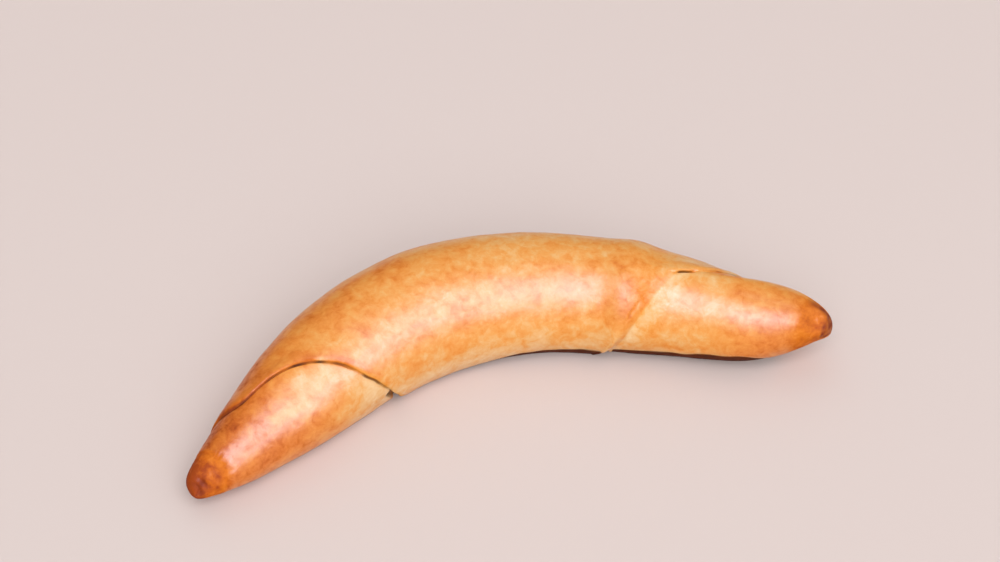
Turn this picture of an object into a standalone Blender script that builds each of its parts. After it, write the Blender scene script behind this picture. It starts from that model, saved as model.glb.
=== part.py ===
"""A halloumi pie: a wedge of dough rolled round its filling, bent into a crescent and baked on a tray.

The last turn of the wedge is the wide wrap that covers the middle. Its two slanting edges are the seams,
and the ends of the turn before it come out from under them. Metres, +Z up. The tray is z = 0, the roll bends
in the XY plane, its left tip is at -X and its hollow side faces -Y.

A station runs along the bent spine from -1 at the left tip to +1 at the right tip. An angle runs round the
section in degrees: 0 is the hollow side, 90 the top, 180 the outer side and 270 the tray.
"""

import math

import bpy
import numpy as np
from mathutils import Vector, noise

# The roll
ROLL_LENGTH = 0.2446
ROLL_HALF_WIDTH = 0.02226
HEIGHT_TO_WIDTH = 0.95
BASE_CUT = 0.763
BASE_ROUNDING = 0.0012
THICKEST_AT = -0.075
LEFT_TAPER = (2.185, 0.757)
RIGHT_TAPER = (1.356, 0.351)

# The tips: how far each is clear of the tray, the knob on the outer side of the left one, and the share of
# the right one that is missing below, at the angle where that is most. A growth is a power of the way to the
# tip, so a high one starts late
LEFT_TIP_LIFT = 0.0078
RIGHT_TIP_LIFT = 0.0092
LIFT_GROWTH = 4
KNOB_SIZE = 0.0045
KNOB_GROWTH = 9
KNOB_CLOSING = 60
PARED_SHARE = 0.67
PARED_AT = -44
PARED_GROWTH = 16.3

# The belly of the right end: its size, and the station and the angle where it is fullest
BELLY_SIZE = 0.0019
BELLY_AT = 0.80
BELLY_ANGLE = -20
BELLY_SPREAD = 0.12

# The bend, spread over the stations that it covers
BEND = math.radians(67.5)
BEND_FROM = -0.65
BEND_TO = 0.648

# The seams, as (angle, station) pairs
LEFT_SEAM = (
    (-60, -0.27),
    (-23, -0.350),
    (7, -0.421),
    (29, -0.471),
    (54, -0.524),
    (81, -0.596),
    (95, -0.659),
    (109, -0.751),
    (143, -0.800),
    (190, -0.845),
    (232, -0.885),
)
RIGHT_SEAM = (
    (-60, 0.36),
    (-24, 0.416),
    (8, 0.472),
    (42, 0.521),
    (69, 0.566),
    (87, 0.605),
    (96, 0.632),
    (110, 0.692),
    (130, 0.728),
    (180, 0.80),
    (232, 0.85),
)

# The edge of the wrap at each seam, as (angle, size) pairs: how far it stands out from the plain roll, its
# height over the turn below, the width of the gap under it and the depth of that gap
LEFT_RISE = ((-60, 0.0005), (90, 0.0007), (130, 0.0005), (232, 0.0))
RIGHT_RISE = ((-60, 0.0006), (0, 0.0006), (90, 0.0008), (130, -0.0009), (232, 0.0))
LEFT_LIP = ((-60, 0.0012), (0, 0.0013), (90, 0.0016), (130, 0.0013), (232, 0.0))
RIGHT_LIP = ((-60, 0.0012), (0, 0.0009), (70, 0.0010), (96, 0.0020), (130, 0.0020), (232, 0.0))
LEFT_GAP = ((-60, 0.0012), (-20, 0.0022), (0, 0.0006), (60, 0.0005), (90, 0.0011), (130, 0.0004))
RIGHT_GAP = ((-60, 0.0007), (0, 0.0004), (74, 0.0004), (86, 0.0011), (98, 0.0005), (232, 0.0004))
LEFT_DEPTH = ((-60, 0.0020), (-20, 0.0030), (0, 0.0009), (60, 0.0007), (90, 0.0014), (232, 0.0))
RIGHT_DEPTH = ((-60, 0.0012), (0, 0.0003), (74, 0.0003), (86, 0.0016), (98, 0.0005), (232, 0.0))
THINNEST_LIP = 0.0006
RISE_LENGTH = 0.009
SINK_LENGTH = 0.008

# The swelling of the wrap before its right seam
SWELL_SIZE = 0.0015
SWELL_AT = 0.45
SWELL_SPREAD = 0.06

# The cross-section of a lip: across it towards the tip, in lip heights and gap widths, then down from its
# top, in lip heights and gap depths
LIP_SECTION = (
    (-1.2, 0.0, 0.0, 0.0),
    (-0.35, 0.0, 0.16, 0.0),
    (0.0, 0.0, 0.62, 0.0),
    (0.0, 0.25, 1.0, 1.0),
    (0.0, 0.80, 1.0, 1.0),
    (0.25, 1.0, 1.0, 0.15),
    (1.1, 1.0, 1.0, 0.0),
)

# The dimple at each tip, and the soft unevenness of risen dough
DIMPLE_DEPTH = 0.0016
DIMPLE_RADIUS = 0.0034
LUMP_HEIGHT = 0.00036
LUMP_SIZE = 0.024

# How finely the solid is divided
TIP_ZONE = 0.955
TIP_COLUMNS = 6
END_COLUMNS = 16
WRAP_COLUMNS = 30
ROUND_ROWS = 58
BASE_ROWS = 8
SPINE_STEPS = 800

CRUST_COLOUR = (0.83, 0.41, 0.11, 1.0)
CRUST_ROUGHNESS = 0.42


def through(pairs, places):
    """A smooth curve through (place, value) pairs, which never swings past them."""
    x, y = (np.array(column, float) for column in zip(*pairs))
    step = np.diff(x)
    slope = np.diff(y) / step
    before, after = slope[:-1], slope[1:]
    same_way = before * after > 0
    inner = np.divide(2 * before * after, before + after, out=np.zeros_like(before), where=same_way)
    tangent = np.concatenate(([slope[0]], inner, [slope[-1]]))
    k = np.clip(np.searchsorted(x, places) - 1, 0, len(step) - 1)
    t = np.clip((places - x[k]) / step[k], 0, 1)
    return (
        y[k] * (2 * t**3 - 3 * t**2 + 1)
        + y[k + 1] * (3 * t**2 - 2 * t**3)
        + step[k] * (tangent[k] * (t**3 - 2 * t**2 + t) + tangent[k + 1] * (t**3 - t**2))
    )


def round_the_roll(pairs, angles):
    """The same curve, closed across the tray, where it goes back to its first value."""
    first_angle, first_value = pairs[0]
    closed = (*pairs, (first_angle + 360, first_value))
    return through(closed, (angles - first_angle) % 360 + first_angle)


def smoothstep(t):
    t = np.clip(t, 0, 1)
    return t * t * (3 - 2 * t)


def spine():
    """Stations along the bent spine, with the plan position and the heading at each."""
    station = np.linspace(-1, 1, SPINE_STEPS + 1)
    heading = BEND * (0.5 - smoothstep((station - BEND_FROM) / (BEND_TO - BEND_FROM)))
    middle = (heading[1:] + heading[:-1]) / 2
    step = ROLL_LENGTH / SPINE_STEPS
    x = np.concatenate(([0], np.cumsum(np.cos(middle) * step)))
    y = np.concatenate(([0], np.cumsum(np.sin(middle) * step)))
    return station, x, y, heading


def half_width(station):
    """Half the roll's width, and the share of the way to the tip, at each station."""
    left = np.clip((station - THICKEST_AT) / (-1 - THICKEST_AT), 0, 1)
    right = np.clip((station - THICKEST_AT) / (1 - THICKEST_AT), 0, 1)
    at_left = (1 - left ** LEFT_TAPER[0]) ** LEFT_TAPER[1]
    at_right = (1 - right ** RIGHT_TAPER[0]) ** RIGHT_TAPER[1]
    return ROLL_HALF_WIDTH * np.where(station < THICKEST_AT, at_left, at_right), left, right


def hump(values, middle, spread):
    """1 at the middle and falling away softly on both sides."""
    return np.exp(-(((values - middle) / spread) ** 2))


def swelling(station):
    """How far the wrap swells out at each station."""
    return SWELL_SIZE * hump(station, SWELL_AT, SWELL_SPREAD)


def lumps(points):
    """The unevenness of the dough at each point, from -1 to 1."""
    flat = points.reshape(-1, 3) / LUMP_SIZE
    return np.array([noise.noise(Vector(p)) for p in flat]).reshape(points.shape[:-1])


def skin(station, angle, rise):
    """Points of the crust. Rise is how far each stands out from the plain roll."""
    at, x, y, heading = spine()
    turn = np.radians(angle)
    width, left, right = half_width(station)
    lift = LEFT_TIP_LIFT * left**LIFT_GROWTH + RIGHT_TIP_LIFT * right**LIFT_GROWTH
    centre = BASE_CUT * HEIGHT_TO_WIDTH * width + lift
    bearing = np.interp(station, at, heading)
    dimple = DIMPLE_DEPTH * np.exp(-((width / DIMPLE_RADIUS) ** 2)) * np.sign(station)
    spine_x = np.interp(station, at, x) - dimple * np.cos(bearing)
    spine_y = np.interp(station, at, y) - dimple * np.sin(bearing)
    spine_point = np.stack([spine_x, spine_y, centre], -1)
    outward = np.stack(
        [
            np.sin(bearing) * np.cos(turn),
            -np.cos(bearing) * np.cos(turn),
            HEIGHT_TO_WIDTH * np.sin(turn),
        ],
        -1,
    )
    plain = spine_point + width[..., None] * outward
    fade = np.clip(width / DIMPLE_RADIUS, 0, 1)
    pared = 1 - PARED_SHARE * right**PARED_GROWTH * np.clip(np.cos(turn - math.radians(PARED_AT)), 0, 1)
    knob = KNOB_SIZE * left**KNOB_GROWTH * np.sqrt(1 - left**KNOB_CLOSING) * (1 - np.cos(turn)) / 2
    belly = BELLY_SIZE * hump(station, BELLY_AT, BELLY_SPREAD)
    belly = belly * np.clip(np.cos(turn - math.radians(BELLY_ANGLE)), 0, 1)
    reach = width * pared + knob + belly + (rise + LUMP_HEIGHT * lumps(plain)) * fade
    points = spine_point + reach[..., None] * outward
    points[..., 2] = on_the_tray(points[..., 2])
    return points


def on_the_tray(height):
    """Heights with the base pressed flat at zero and its edge rounded."""
    bend = (height + BASE_ROUNDING) ** 2 / (4 * BASE_ROUNDING)
    return np.where(height > BASE_ROUNDING, height, np.where(height < -BASE_ROUNDING, 0, bend))


def row_angles():
    """Angles round the section, with fewer rows across the flat base."""
    base_edge = math.degrees(math.asin(BASE_CUT))
    above = np.linspace(-base_edge, 180 + base_edge, ROUND_ROWS)
    below = np.linspace(180 + base_edge, 360 - base_edge, BASE_ROWS + 2)
    return np.concatenate([above, below[1:-1]])


def end_of_roll(side, seam, rise, lip, gap, depth, angles):
    """Stations and rises from one tip to the top of the wrap's edge there, a column for each step."""
    half = ROLL_LENGTH / 2
    seam_at = round_the_roll(seam, angles)
    edge_rise = round_the_roll(rise, angles)
    wrap_rise = edge_rise + swelling(seam_at)
    inner_rise = edge_rise - round_the_roll(lip, angles)
    height = wrap_rise - inner_rise
    gap_width = round_the_roll(gap, angles)
    gap_depth = round_the_roll(depth, angles)
    lip_columns = [
        (
            seam_at + side * (across_lip * np.maximum(height, THINNEST_LIP) + across_gap * gap_width) / half,
            wrap_rise - down_lip * height - down_gap * gap_depth,
        )
        for across_lip, across_gap, down_lip, down_gap in reversed(LIP_SECTION)
    ]
    foot = lip_columns[0][0]
    columns = []
    for share in np.linspace(0, 1, TIP_COLUMNS + 1)[1:]:
        columns.append((np.full_like(angles, side * (1 - (1 - TIP_ZONE) * share**2)), np.zeros_like(angles)))
    for share in np.linspace(0, 1, END_COLUMNS + 1)[1:-1]:
        crowded_at_foot = share * (3 - share) / 2
        station = side * TIP_ZONE + (foot - side * TIP_ZONE) * crowded_at_foot
        from_foot = np.abs(station - foot) * half
        columns.append((station, inner_rise * np.exp(-((from_foot / SINK_LENGTH) ** 2))))
    return columns + lip_columns, edge_rise


def roll_columns(angles):
    """Stations and rises of the whole roll, from the left tip to the right tip."""
    half = ROLL_LENGTH / 2
    left, left_rise = end_of_roll(-1, LEFT_SEAM, LEFT_RISE, LEFT_LIP, LEFT_GAP, LEFT_DEPTH, angles)
    right, right_rise = end_of_roll(1, RIGHT_SEAM, RIGHT_RISE, RIGHT_LIP, RIGHT_GAP, RIGHT_DEPTH, angles)
    start, end = left[-1][0], right[-1][0]
    columns = list(left)
    for share in np.linspace(0, 1, WRAP_COLUMNS + 1)[1:-1]:
        station = start + (end - start) * share
        near_left = np.exp(-(((station - start) * half / RISE_LENGTH) ** 2))
        near_right = np.exp(-(((end - station) * half / RISE_LENGTH) ** 2))
        columns.append((station, left_rise * near_left + right_rise * near_right + swelling(station)))
    columns += reversed(right)
    return np.stack([c[0] for c in columns]), np.stack([c[1] for c in columns])


def make_pie():
    """The whole pie as one closed solid: rings along the roll, and a fan at each tip."""
    angles = row_angles()
    station, rise = roll_columns(angles)
    rings = skin(station, np.broadcast_to(angles, station.shape), rise)
    tips = skin(np.array([-1.0, 1.0]), np.zeros(2), np.zeros(2))
    columns, rows = station.shape
    points = np.concatenate([rings.reshape(-1, 3), tips])
    left_tip, right_tip = columns * rows, columns * rows + 1
    faces = []
    for j in range(rows):
        k = (j + 1) % rows
        faces.append((left_tip, j, k))
        for i in range(columns - 1):
            here, there = i * rows, (i + 1) * rows
            faces.append((here + j, there + j, there + k, here + k))
        last = (columns - 1) * rows
        faces.append((last + k, last + j, right_tip))
    return points, faces


def centred_on_its_base(points):
    """Moves the points so that the middle of their box stands over the origin, on z = 0."""
    low, high = points.min(0), points.max(0)
    return points - np.array([(low[0] + high[0]) / 2, (low[1] + high[1]) / 2, low[2]])


def crust_material():
    material = bpy.data.materials.new("crust")
    material.use_nodes = True
    shader = material.node_tree.nodes["Principled BSDF"]
    shader.inputs["Base Color"].default_value = CRUST_COLOUR
    shader.inputs["Roughness"].default_value = CRUST_ROUGHNESS
    shader.inputs["Metallic"].default_value = 0.0
    return material


def main():
    for thing in list(bpy.data.objects):
        bpy.data.objects.remove(thing)
    points, faces = make_pie()
    mesh = bpy.data.meshes.new("halloumi_pie")
    mesh.from_pydata(centred_on_its_base(points).tolist(), [], faces)
    mesh.shade_smooth()
    mesh.materials.append(crust_material())
    pie = bpy.data.objects.new("halloumi_pie", mesh)
    bpy.context.scene.collection.objects.link(pie)


main()
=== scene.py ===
"""The looks of a halloumi pie: its crust as a fine mesh with a baked, egg-washed surface.

The crust follows the same bent roll as the solid that it replaces, and adds what is too fine for it: lips
that overhang their gaps, wrinkles, blisters, the browned foot darkened with painted contact shadow, and the
edge, creases and hollow of the tips. Metres, +Z up. A station runs along the bent spine from -1 at the left
tip to +1 at the right tip. An angle runs round the section in degrees: 0 is the hollow side, 90 the top,
180 the outer side and 270 the tray.
"""

import math

import bpy
import numpy as np
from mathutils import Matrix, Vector, noise


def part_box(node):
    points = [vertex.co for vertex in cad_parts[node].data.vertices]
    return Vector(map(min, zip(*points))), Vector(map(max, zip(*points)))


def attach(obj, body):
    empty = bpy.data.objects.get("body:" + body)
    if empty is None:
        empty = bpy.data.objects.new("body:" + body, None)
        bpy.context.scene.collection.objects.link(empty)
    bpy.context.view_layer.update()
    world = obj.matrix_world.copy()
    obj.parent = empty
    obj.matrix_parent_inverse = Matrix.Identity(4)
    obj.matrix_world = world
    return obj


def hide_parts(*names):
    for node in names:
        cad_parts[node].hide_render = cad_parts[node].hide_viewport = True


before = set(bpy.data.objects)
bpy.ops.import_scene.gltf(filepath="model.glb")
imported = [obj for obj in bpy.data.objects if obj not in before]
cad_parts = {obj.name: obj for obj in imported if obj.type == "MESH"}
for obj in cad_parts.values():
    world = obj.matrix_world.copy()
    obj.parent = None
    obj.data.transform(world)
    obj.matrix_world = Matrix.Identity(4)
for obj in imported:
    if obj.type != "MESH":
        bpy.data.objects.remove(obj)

# The roll, its tips and its bend. The sizes are those of the solid, but the right tip is rounder
ROLL_LENGTH = 0.2446
ROLL_HALF_WIDTH = 0.02226
HEIGHT_TO_WIDTH = 0.95
BASE_CUT = 0.763
BASE_ROUNDING = 0.0012
THICKEST_AT = -0.075
LEFT_TAPER = (2.185, 0.757)
RIGHT_TAPER = (1.375, 0.345)
LEFT_TIP_LIFT = 0.0078
RIGHT_TIP_LIFT = 0.0095
LIFT_GROWTH = 4
RIGHT_LEAN = 0.22
LEAN_AT = 140
LEAN_GROWTH = 14
KNOB_SIZE = 0.0045
KNOB_GROWTH = 9
KNOB_CLOSING = 60
PARED_SHARE = 0.67
PARED_AT = -44
PARED_GROWTH = 16.3
BELLY_SIZE = 0.0019
BELLY_AT = 0.80
BELLY_ANGLE = -20
BELLY_SPREAD = 0.12
BEND = math.radians(67.5)
BEND_FROM = -0.65
BEND_TO = 0.648

# The two seams, as (angle, value) pairs round the roll: the station of each, how far the wrap rises there,
# the height of its lip, and the width and the depth of the gap under the lip
LEFT_SEAM = (
    (-60, -0.27),
    (-23, -0.350),
    (7, -0.421),
    (29, -0.471),
    (54, -0.521),
    (81, -0.593),
    (95, -0.659),
    (109, -0.751),
    (143, -0.800),
    (190, -0.845),
    (232, -0.885),
)
RIGHT_SEAM = (
    (-60, 0.36),
    (-24, 0.416),
    (8, 0.472),
    (42, 0.521),
    (69, 0.561),
    (84, 0.585),
    (89, 0.618),
    (96, 0.646),
    (110, 0.693),
    (130, 0.728),
    (180, 0.80),
    (232, 0.85),
)
LEFT_RISE = ((-60, 0.0005), (90, 0.0007), (130, 0.0005), (232, 0.0))
RIGHT_RISE = ((-60, 0.0006), (0, 0.0006), (90, 0.0008), (130, -0.0009), (232, 0.0))
LEFT_LIP = (
    (-60, 0.0012), (-26, 0.0010), (0, 0.0005), (60, 0.0005), (90, 0.0007), (130, 0.0009), (232, 0.0),
)
RIGHT_LIP = ((-60, 0.0010), (0, 0.0005), (70, 0.0006), (86, 0.0007), (130, 0.0012), (232, 0.0))
LEFT_GAP = (
    (-60, 0.0012), (-28, 0.0032), (-13, 0.0032), (-7, 0.0004),
    (60, 0.0004), (90, 0.0005), (130, 0.0004),
)
RIGHT_GAP = ((-60, 0.0007), (0, 0.0004), (81, 0.0004), (86, 0.0016), (91, 0.0004), (232, 0.0004))
LEFT_DEPTH = (
    (-60, 0.0020), (-28, 0.0034), (-13, 0.0034), (-7, 0.0002),
    (60, 0.0002), (90, 0.0004), (232, 0.0),
)
RIGHT_DEPTH = ((-60, 0.0012), (0, 0.0003), (81, 0.0003), (86, 0.0016), (91, 0.0003), (232, 0.0))

# How far from a seam the wrap's rise and the inner turn's sinking reach, the swelling of the wrap, the
# dimples of the two tips, and the large soft lumps
RISE_LENGTH = 0.009
SINK_LENGTH = 0.008
SWELL_SIZE = 0.0015
SWELL_AT = 0.45
SWELL_SPREAD = 0.06
LEFT_DIMPLE = 0.0016
RIGHT_DIMPLE = -0.0002
RIGHT_POLE = (0.0024, math.radians(136))
DIMPLE_RADIUS = 0.0034
LUMP_HEIGHT = 0.00036
LUMP_SIZE = 0.024

# The cross-section of a lip, from the wrap down over its nose into the gap and up to the turn below. Each
# row is a place across it towards the tip, in metres and in gap widths, then a depth below the lip's top,
# in lip heights and in gap depths, then how much of the dark line it has: a browned edge with painted shade
# in the gap
LIP_SECTION = (
    (-0.0026, 0.0, 0.0, 0.0, 0.0),
    (-0.0016, 0.0, 0.05, 0.0, 0.0),
    (-0.0009, 0.0, 0.17, 0.0, 0.0),
    (-0.0004, 0.0, 0.35, 0.0, 0.1),
    (-0.0001, 0.0, 0.55, 0.0, 0.6),
    (0.0, 0.0, 0.75, 0.0, 1.0),
    (-0.0001, 0.0, 0.92, 0.1, 1.0),
    (-0.0003, -0.2, 1.0, 0.55, 1.0),
    (-0.0001, -0.1, 1.0, 0.95, 1.0),
    (0.0, 0.45, 1.0, 0.95, 1.0),
    (0.0001, 0.85, 1.0, 0.45, 1.0),
    (0.0003, 1.0, 1.0, 0.12, 0.3),
    (0.0009, 1.0, 1.0, 0.0, 0.0),
)
LIP_FULL_HEIGHT = 0.0008
LEAST_LIP_SPREAD = 0.15

# A soft lip is an even slope with a narrow line on it. The softness along each seam is 0 at a crisp lip
SOFT_LIP_FROM = -0.0034
SOFT_LIP_TO = 0.0014
SOFT_LINE_WIDTH = 0.0005
LEFT_SOFTNESS = ((-60, 0.0), (-12, 0.0), (-5, 0.3), (85, 0.25), (104, 0.45), (120, 0.5), (232, 0.6))
RIGHT_SOFTNESS = ((-60, 0.3), (-20, 0.8), (0, 1.0), (80, 1.0), (84, 0.0), (89, 0.0), (94, 1.0), (232, 1.0))
SEAM_WAVER = 0.0005
SEAM_WAVER_SIZE = 0.007
FINE_WAVER_SIZE = SEAM_WAVER_SIZE / 3
FINE_WAVER_SHARE = 0.5

# How dark the line along each seam is, as (angle, share) pairs, and how it breaks. The line is a browned
# edge with painted shade in the gap under the lip, in the slit and in the hole under the wrap's corner
LEFT_SHADED_LINE = (
    (-60, 1.0), (-13, 1.0), (-8, 0.5), (20, 0.65), (60, 0.8),
    (80, 0.75), (104, 0.8), (112, 0.6), (232, 0.3),
)
RIGHT_SHADED_LINE = (
    (-60, 0.4), (-24, 0.1), (-10, 0.0), (82, 0.0), (85, 1.0),
    (88, 1.0), (91, 0.0), (103, 0.5), (232, 0.2),
)
LINE_BREAKS = 0.7
LINE_BREAK_SIZE = 0.0035
LINE_BREAK_SEED = 5.1
LINE_BREAK_STRENGTH = 2
LINE_BREAK_RANGE = (-1, 0.4)

# How finely the crust is divided
TIP_ZONE = 0.955
TIP_COLUMNS = 12
END_COLUMNS = 56
WRAP_COLUMNS = 190
ROUND_ROWS = 232
BASE_ROWS = 24
SPINE_STEPS = 2000


def through(pairs, places):
    """A smooth curve through (place, value) pairs, which never swings past them."""
    x, y = (np.array(column, float) for column in zip(*pairs))
    step = np.diff(x)
    slope = np.diff(y) / step
    before, after = slope[:-1], slope[1:]
    same_way = before * after > 0
    inner = np.divide(2 * before * after, before + after, out=np.zeros_like(before), where=same_way)
    tangent = np.concatenate(([slope[0]], inner, [slope[-1]]))
    k = np.clip(np.searchsorted(x, places) - 1, 0, len(step) - 1)
    t = np.clip((places - x[k]) / step[k], 0, 1)
    return (
        y[k] * (2 * t**3 - 3 * t**2 + 1)
        + y[k + 1] * (3 * t**2 - 2 * t**3)
        + step[k] * (tangent[k] * (t**3 - 2 * t**2 + t) + tangent[k + 1] * (t**3 - t**2))
    )


def round_the_roll(pairs, angles):
    """The same curve, closed across the tray, where it goes back to its first value."""
    first_angle, first_value = pairs[0]
    closed = (*pairs, (first_angle + 360, first_value))
    return through(closed, wound(angles, first_angle))


def smoothstep(t):
    t = np.clip(t, 0, 1)
    return t * t * (3 - 2 * t)


def ramp(values, start, end):
    """0 up to the start and 1 from the end on, rising softly between them."""
    return smoothstep((values - start) / (end - start))


def hump(values, middle, spread):
    """1 at the middle and falling away softly on both sides."""
    return np.exp(-(((values - middle) / spread) ** 2))


def wound(angle, lowest):
    """The angle as a value from the lowest one up to a full turn above it."""
    return (angle - lowest) % 360 + lowest


def spine():
    """Stations along the bent spine, with the plan position and the heading at each."""
    station = np.linspace(-1, 1, SPINE_STEPS + 1)
    heading = BEND * (0.5 - smoothstep((station - BEND_FROM) / (BEND_TO - BEND_FROM)))
    middle = (heading[1:] + heading[:-1]) / 2
    step = ROLL_LENGTH / SPINE_STEPS
    x = np.concatenate(([0], np.cumsum(np.cos(middle) * step)))
    y = np.concatenate(([0], np.cumsum(np.sin(middle) * step)))
    return station, x, y, heading


def half_width(station):
    """Half the roll's width, and the share of the way to the tip, at each station."""
    left = np.clip((station - THICKEST_AT) / (-1 - THICKEST_AT), 0, 1)
    right = np.clip((station - THICKEST_AT) / (1 - THICKEST_AT), 0, 1)
    at_left = (1 - left ** LEFT_TAPER[0]) ** LEFT_TAPER[1]
    at_right = (1 - right ** RIGHT_TAPER[0]) ** RIGHT_TAPER[1]
    return ROLL_HALF_WIDTH * np.where(station < THICKEST_AT, at_left, at_right), left, right


def noise_at(points, size, offset=0.0):
    """Smooth noise at each point, from about -1 to 1, with lumps of the given size."""
    flat = points.reshape(-1, 3) / size + offset
    return np.array([noise.noise(Vector(p)) for p in flat.tolist()]).reshape(points.shape[:-1])


def swelling(station):
    """How far the wrap swells out at each station."""
    return SWELL_SIZE * hump(station, SWELL_AT, SWELL_SPREAD)


def on_the_tray(height):
    """Heights with the base pressed flat at zero and its edge rounded."""
    bend = (height + BASE_ROUNDING) ** 2 / (4 * BASE_ROUNDING)
    return np.where(height > BASE_ROUNDING, height, np.where(height < -BASE_ROUNDING, 0, bend))


def skin(station, angle, rise):
    """Points of the crust that stand out of the roll by the rise, before the tray flattens its base."""
    at, x, y, heading = spine()
    turn = np.radians(angle)
    width, left, right = half_width(station)
    lift = LEFT_TIP_LIFT * left**LIFT_GROWTH + RIGHT_TIP_LIFT * right**LIFT_GROWTH
    centre = BASE_CUT * HEIGHT_TO_WIDTH * width + lift
    bearing = np.interp(station, at, heading)
    dimple = np.where(station < 0, -LEFT_DIMPLE, RIGHT_DIMPLE) * np.exp(-((width / DIMPLE_RADIUS) ** 2))
    lean = RIGHT_LEAN * right**LEAN_GROWTH * width * np.cos(turn - math.radians(LEAN_AT))
    pole = np.where(station < 0, 0, RIGHT_POLE[0]) * np.exp(-((width / DIMPLE_RADIUS) ** 2))
    aside = pole * math.cos(RIGHT_POLE[1])
    spine_x = np.interp(station, at, x) + (lean - dimple) * np.cos(bearing) + aside * np.sin(bearing)
    spine_y = np.interp(station, at, y) + (lean - dimple) * np.sin(bearing) - aside * np.cos(bearing)
    spine_point = np.stack([spine_x, spine_y, centre + pole * math.sin(RIGHT_POLE[1])], -1)
    outward = np.stack(
        [
            np.sin(bearing) * np.cos(turn),
            -np.cos(bearing) * np.cos(turn),
            HEIGHT_TO_WIDTH * np.sin(turn),
        ],
        -1,
    )
    plain = spine_point + width[..., None] * outward
    fade = np.clip(width / DIMPLE_RADIUS, 0, 1)
    pared = 1 - PARED_SHARE * right**PARED_GROWTH * np.clip(np.cos(turn - math.radians(PARED_AT)), 0, 1)
    knob = KNOB_SIZE * left**KNOB_GROWTH * np.sqrt(1 - left**KNOB_CLOSING) * (1 - np.cos(turn)) / 2
    belly = BELLY_SIZE * hump(station, BELLY_AT, BELLY_SPREAD)
    belly = belly * np.clip(np.cos(turn - math.radians(BELLY_ANGLE)), 0, 1)
    reach = width * pared + knob + belly + (rise + LUMP_HEIGHT * noise_at(plain, LUMP_SIZE)) * fade
    return spine_point + reach[..., None] * outward


def row_angles():
    """Angles round the section, with fewer rows across the flat base."""
    base_edge = math.degrees(math.asin(BASE_CUT))
    above = np.linspace(-base_edge, 180 + base_edge, ROUND_ROWS)
    below = np.linspace(180 + base_edge, 360 - base_edge, BASE_ROWS + 2)
    return np.concatenate([above, below[1:-1]])


def seam_ring(side, angles):
    """Points round the roll at a seam, for the noise along it."""
    turn = np.radians(angles)
    return np.stack([np.cos(turn), np.sin(turn), np.full_like(turn, side)], -1) * ROLL_HALF_WIDTH


def seam_line(side, seam, angles):
    """The seam's station at each angle, with the waver of a torn and risen edge."""
    ring = seam_ring(side, angles)
    coarse = noise_at(ring, SEAM_WAVER_SIZE)
    fine = noise_at(ring, FINE_WAVER_SIZE)
    waver = SEAM_WAVER * (coarse + FINE_WAVER_SHARE * fine)
    return round_the_roll(seam, angles) + waver / (ROLL_LENGTH / 2)


def shaded_line_along_seam(side, angles):
    """How dark the line along a seam is at each angle, with its breaks: a browned edge with painted shade
    in the gap.
    """
    share = round_the_roll(LEFT_SHADED_LINE if side < 0 else RIGHT_SHADED_LINE, angles)
    breaks = noise_at(seam_ring(side, angles), LINE_BREAK_SIZE, LINE_BREAK_SEED)
    breaks = np.clip(breaks * LINE_BREAK_STRENGTH, *LINE_BREAK_RANGE)
    return np.clip(share * (1 + LINE_BREAKS * breaks), 0, 1)


def end_of_roll(side, seam, rise, lip, gap, depth, softness, angles):
    """Columns from one tip to the top of the wrap's edge there, as stations, rises and the dark line, a
    browned edge with painted shade in the gap.
    """
    half = ROLL_LENGTH / 2
    seam_at = seam_line(side, seam, angles)
    edge_rise = round_the_roll(rise, angles)
    wrap_rise = edge_rise + swelling(seam_at)
    inner_rise = edge_rise - round_the_roll(lip, angles)
    height = wrap_rise - inner_rise
    gap_width = round_the_roll(gap, angles)
    gap_depth = round_the_roll(depth, angles)
    soft = round_the_roll(softness, angles)
    spread = np.clip(height / LIP_FULL_HEIGHT, LEAST_LIP_SPREAD, 1)
    line = shaded_line_along_seam(side, angles)
    lip_columns = []
    # The last column of a section row is its share of the dark line: a browned edge with painted shade in
    # the gap
    for number, (across, across_gap, down, down_gap, browned) in enumerate(LIP_SECTION):
        share = number / (len(LIP_SECTION) - 1)
        crisp = spread * (across + across_gap * gap_width)
        even = SOFT_LIP_FROM + (SOFT_LIP_TO - SOFT_LIP_FROM) * share
        station = seam_at + side * (crisp + (even - crisp) * soft) / half
        down = down + (smoothstep(share) - down) * soft
        level = wrap_rise - down * height - down_gap * gap_depth * (1 - soft)
        narrow = hump((station - seam_at) * half, 0, SOFT_LINE_WIDTH)
        lip_columns.append((station, level, line * (browned + (narrow - browned) * soft)))
    lip_columns.reverse()
    foot = lip_columns[0][0]
    columns = []
    for share in np.linspace(0, 1, TIP_COLUMNS + 1)[1:]:
        station = np.full_like(angles, side * (1 - (1 - TIP_ZONE) * share**2))
        columns.append((station, np.zeros_like(angles), np.zeros_like(angles)))
    for share in np.linspace(0, 1, END_COLUMNS + 1)[1:-1]:
        crowded_at_foot = share * (3 - share) / 2
        station = side * TIP_ZONE + (foot - side * TIP_ZONE) * crowded_at_foot
        sunk = inner_rise * np.exp(-((np.abs(station - foot) * half / SINK_LENGTH) ** 2))
        columns.append((station, sunk, np.zeros_like(angles)))
    return columns + lip_columns, edge_rise


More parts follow.
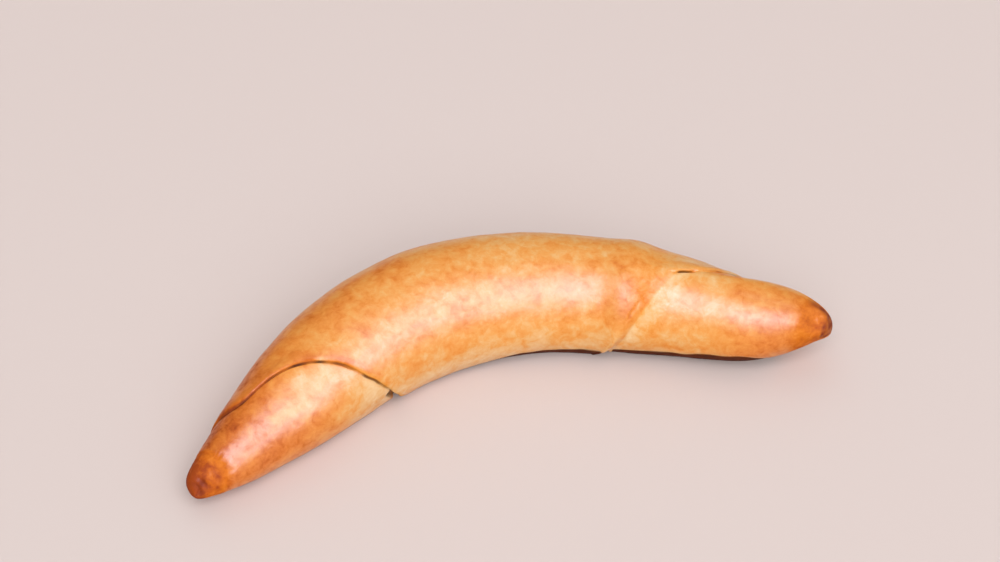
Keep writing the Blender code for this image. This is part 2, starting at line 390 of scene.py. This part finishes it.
def roll_columns(angles):
    """Stations, rises and the dark lines of the whole roll, browned edges with painted shade in the gaps,
    from the left tip to the right tip.
    """
    half = ROLL_LENGTH / 2
    left_seam = (LEFT_SEAM, LEFT_RISE, LEFT_LIP, LEFT_GAP, LEFT_DEPTH, LEFT_SOFTNESS)
    right_seam = (RIGHT_SEAM, RIGHT_RISE, RIGHT_LIP, RIGHT_GAP, RIGHT_DEPTH, RIGHT_SOFTNESS)
    left, left_rise = end_of_roll(-1, *left_seam, angles)
    right, right_rise = end_of_roll(1, *right_seam, angles)
    start, end = left[-1][0], right[-1][0]
    columns = list(left)
    for share in np.linspace(0, 1, WRAP_COLUMNS + 1)[1:-1]:
        station = start + (end - start) * share
        near_left = np.exp(-(((station - start) * half / RISE_LENGTH) ** 2))
        near_right = np.exp(-(((end - station) * half / RISE_LENGTH) ** 2))
        level = left_rise * near_left + right_rise * near_right + swelling(station)
        columns.append((station, level, np.zeros_like(angles)))
    columns += reversed(right)
    return (np.stack(parts) for parts in zip(*columns))


# Relief too fine for the solid, by its height and the size of one lump or line
SWELLS = ((0.00020, 0.011), (0.00007, 0.0048))
WRINKLE_HEIGHT = 0.00016
WRINKLE_ALONG = 0.0034
WRINKLE_AROUND = 0.016
WRINKLES_AT = (0.30, 0.22)
WRINKLES_ANGLE = (8, 34)
WRINKLE_SEED = 7.3
BLISTER_HEIGHT = 0.00009
BLISTER_CELL = 0.0065
BLISTER_SIZE = 0.42
SMALLEST_BLISTER = 0.05
BLISTER_ROUNDNESS = 1.5
BLISTER_SEED = (12.9, 78.2, 4.37)
BLISTERS_TURN = 25
BLISTERS_UPWARD = (-0.5, 0.4)

# The tips: the edge where the outer turn ends short of the left one, the creases in its end, and the hollow
# in the right one with its rim. A line is (station at angle 0, station at angle 90, width, depth), and a
# crease is a line, the angle in its middle with the spread round it, and how dark it is baked. The lip of
# a crease is (share of its depth, widths past its middle), and the rim is (hollow radii, spread)
LEFT_RING = (-0.912, -0.898, 0.0007, 0.0010)
LEFT_CREASES = (
    ((-0.937, -0.928, 0.0008, 0.0005), (45, 60), 0.1),
    ((-0.964, -0.974, 0.0008, 0.0010), (64, 34), 1.0),
    ((-0.990, -0.990, 0.0005, 0.0006), (60, 70), 0.8),
)
CREASE_LIP = (0.45, 1.8)
CREASE_BROWNING = 0.22
RING_ANGLE = (50, 75)
FOLDS_FROM = -120
HOLLOW_AT = (0.962, 60)
HOLLOW_RADIUS = 0.0032
HOLLOW_DEPTH = 0.0015
RIM_HEIGHT = 0.00035
RIM_AT = (1.5, 0.4)

# The crust stays smooth where a seam's dark line is, browned and with painted shade, by this much more than
# the line
LINE_SMOOTHING = 3


def wrinkles(station, angle):
    """Ridges that run round the roll where its hollow side is pressed together."""
    along = station * ROLL_LENGTH / 2 / WRINKLE_ALONG
    around = np.radians(angle) * ROLL_HALF_WIDTH / WRINKLE_AROUND
    ridges = noise_at(np.stack([along, around, np.zeros_like(along)], -1), 1.0, WRINKLE_SEED)
    where = hump(station, *WRINKLES_AT) * hump(wound(angle, -180), *WRINKLES_ANGLE)
    return WRINKLE_HEIGHT * ridges * where


def blisters(points, angle):
    """Small round blisters, most of them on the top and the outer side."""
    flat = (points.reshape(-1, 3) / BLISTER_CELL).tolist()
    found = [noise.voronoi(Vector(p)) for p in flat]
    distance = np.array([distances[0] for distances, _ in found]).reshape(angle.shape)
    by_x, by_y, scatter = BLISTER_SEED
    chance = np.array([math.modf(abs(at[0].x * by_x + at[0].y * by_y) * scatter)[0] for _, at in found])
    size = BLISTER_SIZE * chance.reshape(angle.shape)
    dome = np.clip(1 - (distance / np.maximum(size, SMALLEST_BLISTER)) ** 2, 0, 1) ** BLISTER_ROUNDNESS
    upper = ramp(np.sin(np.radians(angle - BLISTERS_TURN)), *BLISTERS_UPWARD)
    return BLISTER_HEIGHT * dome * size / BLISTER_SIZE * upper


def past_line(station, angle, line):
    """How far each place lies from a line round the left tip, in widths of the line, towards the middle."""
    low, high, width, _ = line
    lean = (high - low) * np.sin(np.radians(angle))
    return (station - low - lean) * ROLL_LENGTH / 2 / width


def facing(angle, way):
    """1 at the angle that a fold faces, falling away on both sides."""
    return hump(wound(angle, FOLDS_FROM), *way)


def hollow(points):
    """How far each point lies from the middle of the right tip's hollow, in hollow radii."""
    station, angle = (np.array([value], float) for value in HOLLOW_AT)
    middle = skin(station, angle, np.zeros(1))[0]
    return np.linalg.norm(points - middle, axis=-1) / HOLLOW_RADIUS


def tip_folds(station, angle, points):
    """The edge and the creases of the left tip, and the hollow of the right one."""
    core = ramp(past_line(station, angle, LEFT_RING), 0.5, -0.5)
    relief = -LEFT_RING[3] * core * facing(angle, RING_ANGLE)
    for line, way, _ in LEFT_CREASES:
        away = past_line(station, angle, line)
        section = hump(away, 0, 1) - CREASE_LIP[0] * hump(away, CREASE_LIP[1], 1)
        relief -= line[3] * section * facing(angle, way)
    away = hollow(points)
    return relief - HOLLOW_DEPTH * hump(away, 0, 1) + RIM_HEIGHT * hump(away, *RIM_AT)


def grid_normals(points):
    """Unit normals of a grid of points whose rows close round the roll."""
    along = np.gradient(points, axis=0)
    around = np.roll(points, -1, 1) - np.roll(points, 1, 1)
    normal = np.cross(along, around)
    return normal / np.maximum(np.linalg.norm(normal, axis=-1, keepdims=True), 1e-12)


def crust_grid():
    """The crust's points as a grid, with what the material needs to know at each of them."""
    angles = row_angles()
    station, rise, gap = roll_columns(angles)
    angle = np.broadcast_to(angles, station.shape)
    points = skin(station, angle, rise)
    relief = wrinkles(station, angle) + blisters(points, angle) + tip_folds(station, angle, points)
    for height, size in SWELLS:
        relief = relief + height * noise_at(points, size)
    open_crust = 1 - np.clip(gap * LINE_SMOOTHING, 0, 1)
    normals = grid_normals(points)
    outward = np.sign(np.mean(normals[station.shape[0] // 2, : ROUND_ROWS, 2]))
    points = points + normals * outward * (relief * open_crust)[..., None]
    points[..., 2] = on_the_tray(points[..., 2])
    below = below_foot(station, angle, points)
    foot = smoothstep(below / FOOT_STEP + 0.5)
    pressed = 4 * foot * (1 - foot) + foot * ramp(points[..., 2], 0, FOOT_BOTTOM)
    sideways = normals * (1, 1, 0) * outward
    points = points - sideways * (FOOT_INSET * np.clip(pressed, 0, 1))[..., None]
    shares = {
        "browning_and_painted_light": browning_and_painted_light(station, angle),
        # The seams' dark lines: browned edges with painted shade in the gaps, the slit and the hole
        "gap": gap,
        "burnt": burnt(station, angle, points),
        # The foot's share: browned bottom crust, darkened further as painted contact shadow
        "foot_and_shadow": np.clip(below / FOOT_COLOUR_STEP + 0.5, -FOOT_COLOUR_REACH, FOOT_COLOUR_REACH),
        "dull": dullness(station, angle),
    }
    return points, shares


# The browned foot, darkened further as painted contact shadow: its height at each station on the hollow
# side and on the outer side, how ragged its edge is, how far it is pressed in under the crust, and how
# sharply its shape and its colour begin
HOLLOW_FOOT = (
    (-1.0, 0.0010),
    (-0.35, 0.0008),
    (-0.10, 0.0014),
    (0.04, 0.0030),
    (0.15, 0.0048),
    (0.33, 0.0054),
    (0.402, 0.0056),
    (0.4125, 0.0010),
    (0.423, 0.0058),
    (0.60, 0.0062),
    (0.72, 0.0078),
    (0.80, 0.0080),
    (0.86, 0.0062),
    (0.90, 0.0040),
    (0.93, 0.0014),
    (1.0, 0.0010),
)
OUTER_FOOT = 0.0024
FOOT_RAGGED = (0.15, 0.006)
FOOT_INSET = 0.0008
FOOT_STEP = 0.0024
FOOT_BOTTOM = 0.0012
FOOT_COLOUR_STEP = 0.0012
FOOT_COLOUR_REACH = 4

# How far the crust is baked: 0 is pale dough and 1 is dark brown. A row is a change of the level and the
# shares that limit it, and a share is what it is measured along, its shape and that shape's two numbers.
# BAKED comes first, the pale turn below each seam is laid over it, and the table of changes laid over those
# comes last. Three of its rows are painted light: painted shade under the lip just past the left seam, and
# painted highlight, paler crust where the sheen falls on the two ends
BAKED_LEVEL = 0.45
BAKED = (
    (0.10, ("angle", ramp, 150, 210)),
    (0.14, ("station", ramp, 0.1, -0.3), ("angle", hump, 112, 34)),
    (-0.05, ("station", ramp, -0.3, 0.1), ("angle", hump, 115, 28)),
    (-0.20, ("from_middle", ramp, 0.62, 0.42), ("angle", hump, -22, 20)),
    (0.12, ("station", hump, 0.44, 0.06), ("angle", hump, 38, 38)),
    (-0.13, ("station", hump, 0.64, 0.06), ("angle", hump, 0, 25)),
    (0.20, ("station", ramp, -0.50, -0.75)),
    (0.05, ("station", ramp, -0.72, -0.87)),
    (0.19, ("station", ramp, 0.64, 0.92)),
    (0.10, ("station", hump, 0.80, 0.12), ("angle", hump, 3, 20)),
)
LEFT_PALE_LEVEL = 0.20
LEFT_PALE_RISE = ((0.16, ("angle", ramp, -5, 30)),)
LEFT_PALE = (
    ("past_left", ramp, -0.0003, 0.0003),
    ("past_left", ramp, 0.014, 0.003),
    ("angle", ramp, -50, -20),
    ("angle", ramp, 92, 66),
)
RIGHT_PALE_LEVEL = 0.22
RIGHT_PALE = (
    ("past_right", ramp, -0.0006, 0.0006),
    ("past_right", ramp, 0.0085, 0.0040),
    ("angle", ramp, -45, -15),
    ("angle", ramp, 96, 76),
)
BAKED_AND_PAINTED_LIGHT_OVER = (
    (0.14, ("past_left", hump, -0.0024, 0.0016), ("angle", ramp, 5, 20), ("angle", ramp, 95, 75)),
    # Painted shade of the lip on the pale turn just past the left seam, with some browning
    (0.14, ("past_left", hump, 0, 0.0012), ("angle", ramp, 0, 20)),
    (0.08, ("past_left", hump, -0.0006, 0.0040), ("angle", hump, 103, 13)),
    (0.14, ("past_right", hump, 0, 0.0035), ("angle", hump, 104, 12)),
    (0.16, ("past_right", hump, -0.0004, 0.0010), ("angle", hump, 86, 7)),
    (0.10, ("station", ramp, -0.38, -0.50), ("angle", ramp, 105, 135)),
    (0.14, ("station", ramp, -0.90, -0.96)),
    (0.08, ("station", ramp, -0.965, -0.985)),
    (0.06, ("station", hump, -0.885, 0.035), ("angle", ramp, 30, 50)),
    (0.13, ("station", ramp, 0.90, 0.95)),
    (0.03, ("station", ramp, 0.935, 0.955)),
    (-0.08, ("station", ramp, 0.68, 0.74), ("angle", ramp, 98, 114)),
    (0.07, ("station", hump, -0.96, 0.03), ("angle", hump, 5, 30)),
    (0.14, ("station", hump, -0.80, 0.12), ("angle", hump, 12, 22)),
    (-0.07, ("station", hump, -0.80, 0.05), ("angle", hump, 26, 14)),
    (0.11, ("station", hump, -0.72, 0.035), ("angle", hump, 66, 10)),
    # Painted highlight: paler crust where the sheen falls on the left end
    (-0.09, ("station", hump, -0.70, 0.09), ("angle", hump, 60, 20)),
    (-0.10, ("station", hump, -0.41, 0.035), ("angle", hump, -18, 12)),
    (0.13, ("station", hump, -0.40, 0.03), ("angle", hump, 34, 10)),
    (-0.06, ("station", hump, -0.10, 0.12), ("angle", hump, 120, 12)),
    (-0.05, ("station", hump, 0.10, 0.14), ("angle", hump, 20, 12)),
    (0.09, ("station", hump, 0.12, 0.28), ("angle", hump, 45, 22)),
    (0.08, ("station", hump, 0.30, 0.05), ("angle", hump, 50, 12)),
    (-0.07, ("station", hump, 0.44, 0.06), ("angle", hump, 116, 14)),
    (0.06, ("station", hump, 0.50, 0.045), ("angle", hump, 50, 26)),
    (0.06, ("station", hump, 0.64, 0.05), ("angle", hump, 42, 26)),
    (0.06, ("station", hump, 0.64, 0.03), ("angle", hump, 66, 10)),
    (-0.05, ("station", hump, 0.76, 0.07), ("angle", hump, 118, 12)),
    # Painted highlight: paler crust where the sheen falls on the right end
    (-0.08, ("station", hump, 0.78, 0.08), ("angle", hump, 55, 18)),
)

# Where the egg wash is thin: at the tips and on the wrap's edges
DULL = (
    (1.0, ("past_ring", ramp, 1.6, -0.4)),
    (1.0, ("station", ramp, 0.885, 0.935)),
    (0.8, ("station", hump, 0.50, 0.05), ("angle", hump, 48, 32)),
    (0.9, ("past_left", hump, -0.0007, 0.0011)),
    (0.9, ("past_right", hump, -0.0005, 0.0011), ("angle", hump, 86, 8)),
)

# What is baked darkest: the rim of the right tip on its upper side and at its end, and the end of the left
# tip. Its edge breaks up in lumps of this size
RIM_BURNT = 0.85
RIM_ABOVE = (("station", ramp, 0.915, 0.955), ("angle", hump, 110, 15))
RIM_END = (("station", ramp, 0.978, 0.985), ("angle", ramp, -20, 20), ("angle", ramp, 170, 130))
LEFT_END_BURNT = ((0.5, ("station", ramp, -0.972, -0.982), ("angle", ramp, 115, 55)),)
BURNT_BREAKS = 0.0022


def measures(station, angle):
    """What the shares of a patch are measured along, at each place of the crust."""
    half = ROLL_LENGTH / 2
    return {
        "station": station,
        "from_middle": np.abs(station),
        "angle": wound(angle, LEFT_SEAM[0][0]),
        "past_left": (round_the_roll(LEFT_SEAM, angle) - station) * half,
        "past_right": (station - round_the_roll(RIGHT_SEAM, angle)) * half,
        "past_ring": past_line(station, angle, LEFT_RING),
    }


def patch(at, shares):
    """How much each place has of a patch: the product of its shares."""
    product = 1.0
    for along, shape, first, second in shares:
        product = product * shape(at[along], first, second)
    return product


def patches(at, rows):
    """The changes that a table of patches makes at each place."""
    return sum(change * patch(at, shares) for change, *shares in rows)


def browning_and_painted_light(station, angle):
    """How far each place of the crust is baked, before the mottling of its material. Painted shade just
    past the left seam and painted highlight on the sheens of the two ends are added to it.
    """
    at = measures(station, angle)
    level = BAKED_LEVEL + patches(at, BAKED)
    left_level = LEFT_PALE_LEVEL + patches(at, LEFT_PALE_RISE)
    level += (left_level - level) * patch(at, LEFT_PALE)
    level += (RIGHT_PALE_LEVEL - level) * patch(at, RIGHT_PALE)
    level += patches(at, BAKED_AND_PAINTED_LIGHT_OVER)
    for line, way, _ in LEFT_CREASES:
        level += CREASE_BROWNING * hump(past_line(station, angle, line), 0, 1) * facing(angle, way)
    return level


def dullness(station, angle):
    """How much of the egg wash's gloss each place lacks."""
    return np.clip(patches(measures(station, angle), DULL), 0, 1)


def burnt(station, angle, points):
    """How dark the rim of the right tip and the end and the creases of the left one are baked."""
    at = measures(station, angle)
    share = RIM_BURNT * np.maximum(patch(at, RIM_ABOVE), patch(at, RIM_END))
    share = share + patches(at, LEFT_END_BURNT)
    for line, way, dark in LEFT_CREASES:
        share = share + dark * hump(past_line(station, angle, line), 0, 1) * facing(angle, way)
    return np.clip(share * (1 + noise_at(points, BURNT_BREAKS)), 0, 1)


def foot_height(station, angle):
    """How far up the crust the browned foot and its painted contact shadow go."""
    hollow_side = 0.5 + 0.5 * np.cos(np.radians(angle))
    return OUTER_FOOT + (through(HOLLOW_FOOT, station) - OUTER_FOOT) * smoothstep(hollow_side * 2)


def below_foot(station, angle, points):
    """How far each place lies below the upper edge of the browned foot and its painted contact shadow, in
    metres.
    """
    ragged = 1 + FOOT_RAGGED[0] * noise_at(points, FOOT_RAGGED[1])
    return foot_height(station, angle) * ragged - points[..., 2]


def make_crust():
    """The crust as one closed mesh: rings along the roll, and a fan at each tip."""
    points, shares = crust_grid()
    columns, rows, _ = points.shape
    tips = skin(np.array([-1.0, 1.0]), np.zeros(2), np.zeros(2))
    corners = np.concatenate([points.reshape(-1, 3), tips])
    low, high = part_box("halloumi_pie")
    corners += (np.array(low) + np.array(high) - corners.min(0) - corners.max(0)) / 2 * (1, 1, 0)
    i, j = np.meshgrid(np.arange(columns - 1), np.arange(rows), indexing="ij")
    k = (j + 1) % rows
    quads = np.stack([i * rows + j, (i + 1) * rows + j, (i + 1) * rows + k, i * rows + k], -1)
    left_tip, right_tip = columns * rows, columns * rows + 1
    last = (columns - 1) * rows
    fans = [(left_tip, n, (n + 1) % rows) for n in range(rows)]
    fans += [(last + (n + 1) % rows, last + n, right_tip) for n in range(rows)]
    mesh = bpy.data.meshes.new("pie_crust")
    mesh.from_pydata(corners.tolist(), [], quads.reshape(-1, 4).tolist() + fans)
    mesh.shade_smooth()
    for name, share in shares.items():
        values = np.append(share, (share[0].mean(), share[-1].mean()))
        mesh.attributes.new(name, "FLOAT", "POINT").data.foreach_set("value", values.astype(np.float32))
    crust = bpy.data.objects.new("pie_crust", mesh)
    bpy.context.scene.collection.objects.link(crust)
    return crust


def linear(red, green, blue):
    """A surface colour in screen values, from 0 to 255, as the shader takes it."""
    shown = np.array([red, green, blue]) / 255
    return (*np.where(shown > 0.04045, ((shown + 0.055) / 1.055) ** 2.4, shown / 12.92), 1.0)


# The crust's surface colours by how far it is baked
CRUST_COLOURS = (
    (0.00, (226, 190, 138)),
    (0.15, (223, 177, 118)),
    (0.30, (221, 163, 92)),
    (0.42, (221, 150, 66)),
    (0.55, (219, 137, 46)),
    (0.68, (211, 119, 24)),
    (0.80, (200, 105, 10)),
    (0.90, (184, 88, 4)),
    (1.00, (152, 62, 2)),
)
# The foot: browned bottom crust, darkened further as painted contact shadow
FOOT_AND_SHADOW_COLOURS = ((66, 26, 2), (104, 44, 4))
FOOT_AND_SHADOW_CONTRAST = 1.6
# Painted shade in the seams' gaps, the slit and the hole under the wrap's corner, over a browned edge
GAP_SHADE_COLOUR = (68, 26, 0)
BURNT_COLOUR = (126, 48, 6)

# The mottling of the crust, from wide patches to freckles: the size of the lumps in metres, then the
# detail, the roughness and the distortion of the noise, and how strongly it shows. The paler the crust is,
# the more it is mottled
MOTTLING = {
    "patches": (0.013, 3, 0.55, 0.6, 0.46),
    "blotches": (0.0065, 3, 0.6, 0.9, 0.58),
    "mottles": (0.0030, 3, 0.6, 0.5, 0.64),
    "freckles": (0.0012, 3, 0.6, 0.0, 0.22),
}
PALE_CONTRAST = 1.27
CONTRAST_LOSS = 0.7

# The dough is dull, and the egg wash on it is a glossy coat: its mean weight, how far its patches go up and
# down from that, and its roughness. It dries up where the crust is baked darkest
REFRACTION = 1.5
DOUGH_ROUGHNESS = 0.75
DOUGH_SHINE = 0.12
WASH = 0.95
WASH_PATCHES = 0.9
WASH_ROUGHNESS = 0.36
DRY_FROM = 0.725
DRYING = 2.0

# The fine grain of the crust: the size, detail and roughness of its pores, how much of the mottling is
# added to them, and its height and strength
PORES = (0.0007, 4, 0.65)
GRAIN_MOTTLES = 1.4
GRAIN_HEIGHT = 0.00012
GRAIN_STRENGTH = 0.5


class Shader:
    """A short way to add nodes to a material: inputs take numbers or the outputs of other nodes."""

    def __init__(self, name):
        self.material = bpy.data.materials.new(name)
        self.material.use_nodes = True
        self.tree = self.material.node_tree
        self.surface = self.tree.nodes["Principled BSDF"]

    def set(self, node, inputs):
        for name, value in inputs.items():
            if isinstance(value, bpy.types.NodeSocket):
                self.tree.links.new(value, node.inputs[name])
            else:
                node.inputs[name].default_value = value

    def add(self, kind, inputs, output=0, **settings):
        """The output of a new node. Sockets go by name, or by number where two have the same name."""
        node = self.tree.nodes.new(kind)
        for name, value in settings.items():
            setattr(node, name, value)
        self.set(node, inputs)
        return node.outputs[output]

    def math(self, operation, *values, clamp=False):
        inputs = dict(enumerate(values))
        return self.add("ShaderNodeMath", inputs, operation=operation, use_clamp=clamp)

    def mix(self, share, first, second):
        inputs = {0: share, 6: first, 7: second}
        return self.add("ShaderNodeMix", inputs, output=2, data_type="RGBA")

    def attribute(self, name):
        return self.add("ShaderNodeAttribute", {}, output="Fac", attribute_name=name)

    def noise(self, where, size, detail, roughness=0.5, distortion=0.0):
        """Noise around 0, from about -0.5 to 0.5, with lumps of the given size in metres."""
        inputs = {"Vector": where, "Scale": 1 / size, "Detail": detail, "Roughness": roughness}
        inputs["Distortion"] = distortion
        return self.math("SUBTRACT", self.add("ShaderNodeTexNoise", inputs), 0.5)

    def ramp(self, value, stops):
        node = self.tree.nodes.new("ShaderNodeValToRGB")
        self.set(node, {0: value})
        elements = node.color_ramp.elements
        for place, colour in stops[1:-1]:
            elements.new(place)
        for element, (place, colour) in zip(elements, stops):
            element.position = place
            element.color = colour
        return node.outputs[0]


def crust_material():
    """Egg-washed dough: mottled gold to brown, with freckles, a fine grain and a soft gloss."""
    crust = Shader("crust")
    where = crust.add("ShaderNodeTexCoord", {}, output="Object")
    # The baking level, which also holds painted shade past the left seam and painted highlight on the ends'
    # sheens
    baked = crust.attribute("browning_and_painted_light")
    noises = {}
    mottling = 0.0
    for name, (*shape, strength) in MOTTLING.items():
        noises[name] = crust.noise(where, *shape)
        mottling = crust.math("MULTIPLY_ADD", noises[name], strength, mottling)
    contrast = crust.math("MULTIPLY_ADD", baked, -CONTRAST_LOSS, PALE_CONTRAST)
    level = crust.math("MULTIPLY_ADD", mottling, contrast, baked, clamp=True)
    colour = crust.ramp(level, [(place, linear(*shown)) for place, shown in CRUST_COLOURS])
    colour = crust.mix(crust.attribute("burnt"), colour, linear(*BURNT_COLOUR))
    # The foot: browned bottom crust with painted contact shadow
    foot_shadow_pattern = crust.math("MULTIPLY_ADD", noises["mottles"], FOOT_AND_SHADOW_CONTRAST, 0.5, clamp=True)
    foot_shadow_colour = crust.mix(foot_shadow_pattern, *(linear(*shown) for shown in FOOT_AND_SHADOW_COLOURS))
    foot_and_shadow = crust.math("ADD", crust.attribute("foot_and_shadow"), 0.0, clamp=True)
    colour = crust.mix(foot_and_shadow, colour, foot_shadow_colour)
    # Painted shade in the seams' gaps, the slit and the hole under the wrap's corner, over browned edges
    gap = crust.attribute("gap")
    colour = crust.mix(gap, colour, linear(*GAP_SHADE_COLOUR))
    dry = crust.math("MULTIPLY_ADD", level, DRYING, -DRYING * DRY_FROM, clamp=True)
    dry = crust.math("MAXIMUM", dry, crust.attribute("dull"))
    wash = WASH
    for name in ("blotches", "mottles"):
        wash = crust.math("MULTIPLY_ADD", noises[name], -WASH_PATCHES, wash)
    for share in (dry, foot_and_shadow, gap):
        wash = crust.math("SUBTRACT", wash, share, clamp=True)
    grain = crust.math("MULTIPLY_ADD", noises["mottles"], GRAIN_MOTTLES, crust.noise(where, *PORES))
    relief = {"Strength": GRAIN_STRENGTH, "Distance": GRAIN_HEIGHT, "Height": grain}
    bump = crust.add("ShaderNodeBump", relief)
    dough = {"Roughness": DOUGH_ROUGHNESS, "Specular IOR Level": DOUGH_SHINE, "IOR": REFRACTION}
    egg = {"Coat Weight": wash, "Coat Roughness": WASH_ROUGHNESS, "Coat IOR": REFRACTION}
    crust.set(crust.surface, {"Base Color": colour, "Normal": bump, "Coat Normal": bump, **dough, **egg})
    return crust.material


# The floor, the lights and the camera, as it stands over the pie in the photograph
FLOOR_COLOUR = (206, 192, 188)
FLOOR_SIZE = 8.0
FLOOR_DROP = 0.0001
CAMERA_AZIMUTH = math.radians(-19.58)
CAMERA_ELEVATION = math.radians(40)
CAMERA_DISTANCE = 0.9256
CAMERA_TARGET = Vector((0.0111, 0.0181, 0.02))
CAMERA_LENS = 100
CAMERA_SENSOR = 36
AMBIENT_COLOUR = (1.0, 0.985, 0.975)
AMBIENT_LEVEL = 0.41

# The soft lights, all at one distance. Each has its way to the right, towards the camera and up, its width,
# its brightness and colour, and whether it shows on the matt crust and in the gloss. The fill lights throw
# no shadows
WHITE = (1.0, 1.0, 1.0)
SKYLIGHT = (0.36, 0.62, 1.0)
FILL_LIGHTS = ("back", "top")
LIGHT_DISTANCE = 5.0
LIGHT_HEIGHT = 4.6
LIGHTS = {
    "key": ((0.49, 0.54, 0.69), 4.6, 0.8, WHITE, True, True),
    "front": ((0.08, 0.74, 0.67), 4.6, 3.65, WHITE, True, False),
    "back": ((-0.10, -0.72, 0.69), 4.6, 0.96, WHITE, True, False),
    "top": ((0.0, 0.0, 1.0), 4.6, 0.3, WHITE, True, False),
    "gloss_right": ((0.60, 0.49, 0.63), 7.0, 9.2, SKYLIGHT, False, True),
    "gloss_left": ((0.0, 0.50, 0.87), 2.6, 10.2, SKYLIGHT, False, True),
}


def make_floor():
    mesh = bpy.data.meshes.new("floor")
    half = FLOOR_SIZE / 2
    corners = [(-half, -half, 0), (half, -half, 0), (half, half, 0), (-half, half, 0)]
    mesh.from_pydata(corners, [], [(0, 1, 2, 3)])
    floor = bpy.data.objects.new("floor", mesh)
    bpy.context.scene.collection.objects.link(floor)
    floor.location.z = -FLOOR_DROP
    paper = Shader("floor")
    matt = {"Base Color": linear(*FLOOR_COLOUR), "Roughness": 1.0, "Specular IOR Level": 0.0}
    paper.set(paper.surface, matt)
    mesh.materials.append(paper.material)


def camera_axes():
    """The directions to the camera's right and horizontally towards it."""
    right = Vector((math.cos(CAMERA_AZIMUTH), math.sin(CAMERA_AZIMUTH), 0))
    towards = Vector((math.sin(CAMERA_AZIMUTH), -math.cos(CAMERA_AZIMUTH), 0))
    return right, towards


def aim(thing, place, target):
    thing.location = place
    thing.rotation_euler = (target - place).to_track_quat("-Z", "Y").to_euler()


def make_lights():
    right, towards = camera_axes()
    for name, (way, width, radiance, colour, on_matt, in_gloss) in LIGHTS.items():
        data = bpy.data.lights.new(name, "AREA")
        data.shape = "RECTANGLE"
        data.size = width
        data.size_y = LIGHT_HEIGHT
        data.energy = radiance * math.pi * width * LIGHT_HEIGHT
        data.color = colour
        data.use_shadow = name not in FILL_LIGHTS
        light = bpy.data.objects.new(name, data)
        light.visible_camera = False
        light.visible_diffuse = on_matt
        light.visible_glossy = in_gloss
        bpy.context.scene.collection.objects.link(light)
        direction = right * way[0] + towards * way[1] + Vector((0, 0, way[2]))
        aim(light, CAMERA_TARGET + direction.normalized() * LIGHT_DISTANCE, CAMERA_TARGET)
    world = bpy.data.worlds.new("studio")
    world.use_nodes = True
    background = world.node_tree.nodes["Background"]
    background.inputs["Color"].default_value = (*AMBIENT_COLOUR, 1)
    background.inputs["Strength"].default_value = AMBIENT_LEVEL
    world.cycles_visibility.glossy = False
    bpy.context.scene.world = world


def make_camera():
    data = bpy.data.cameras.new("camera")
    data.lens = CAMERA_LENS
    data.sensor_width = CAMERA_SENSOR
    camera = bpy.data.objects.new("camera", data)
    bpy.context.scene.collection.objects.link(camera)
    _, towards = camera_axes()
    direction = towards * math.cos(CAMERA_ELEVATION) + Vector((0, 0, math.sin(CAMERA_ELEVATION)))
    aim(camera, CAMERA_TARGET + direction * CAMERA_DISTANCE, CAMERA_TARGET)
    bpy.context.scene.camera = camera


def main():
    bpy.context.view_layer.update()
    crust = make_crust()
    crust.data.materials.append(crust_material())
    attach(crust, "root")
    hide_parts("halloumi_pie")
    make_floor()
    make_lights()
    make_camera()
    bpy.context.scene.view_settings.view_transform = "Standard"


main()
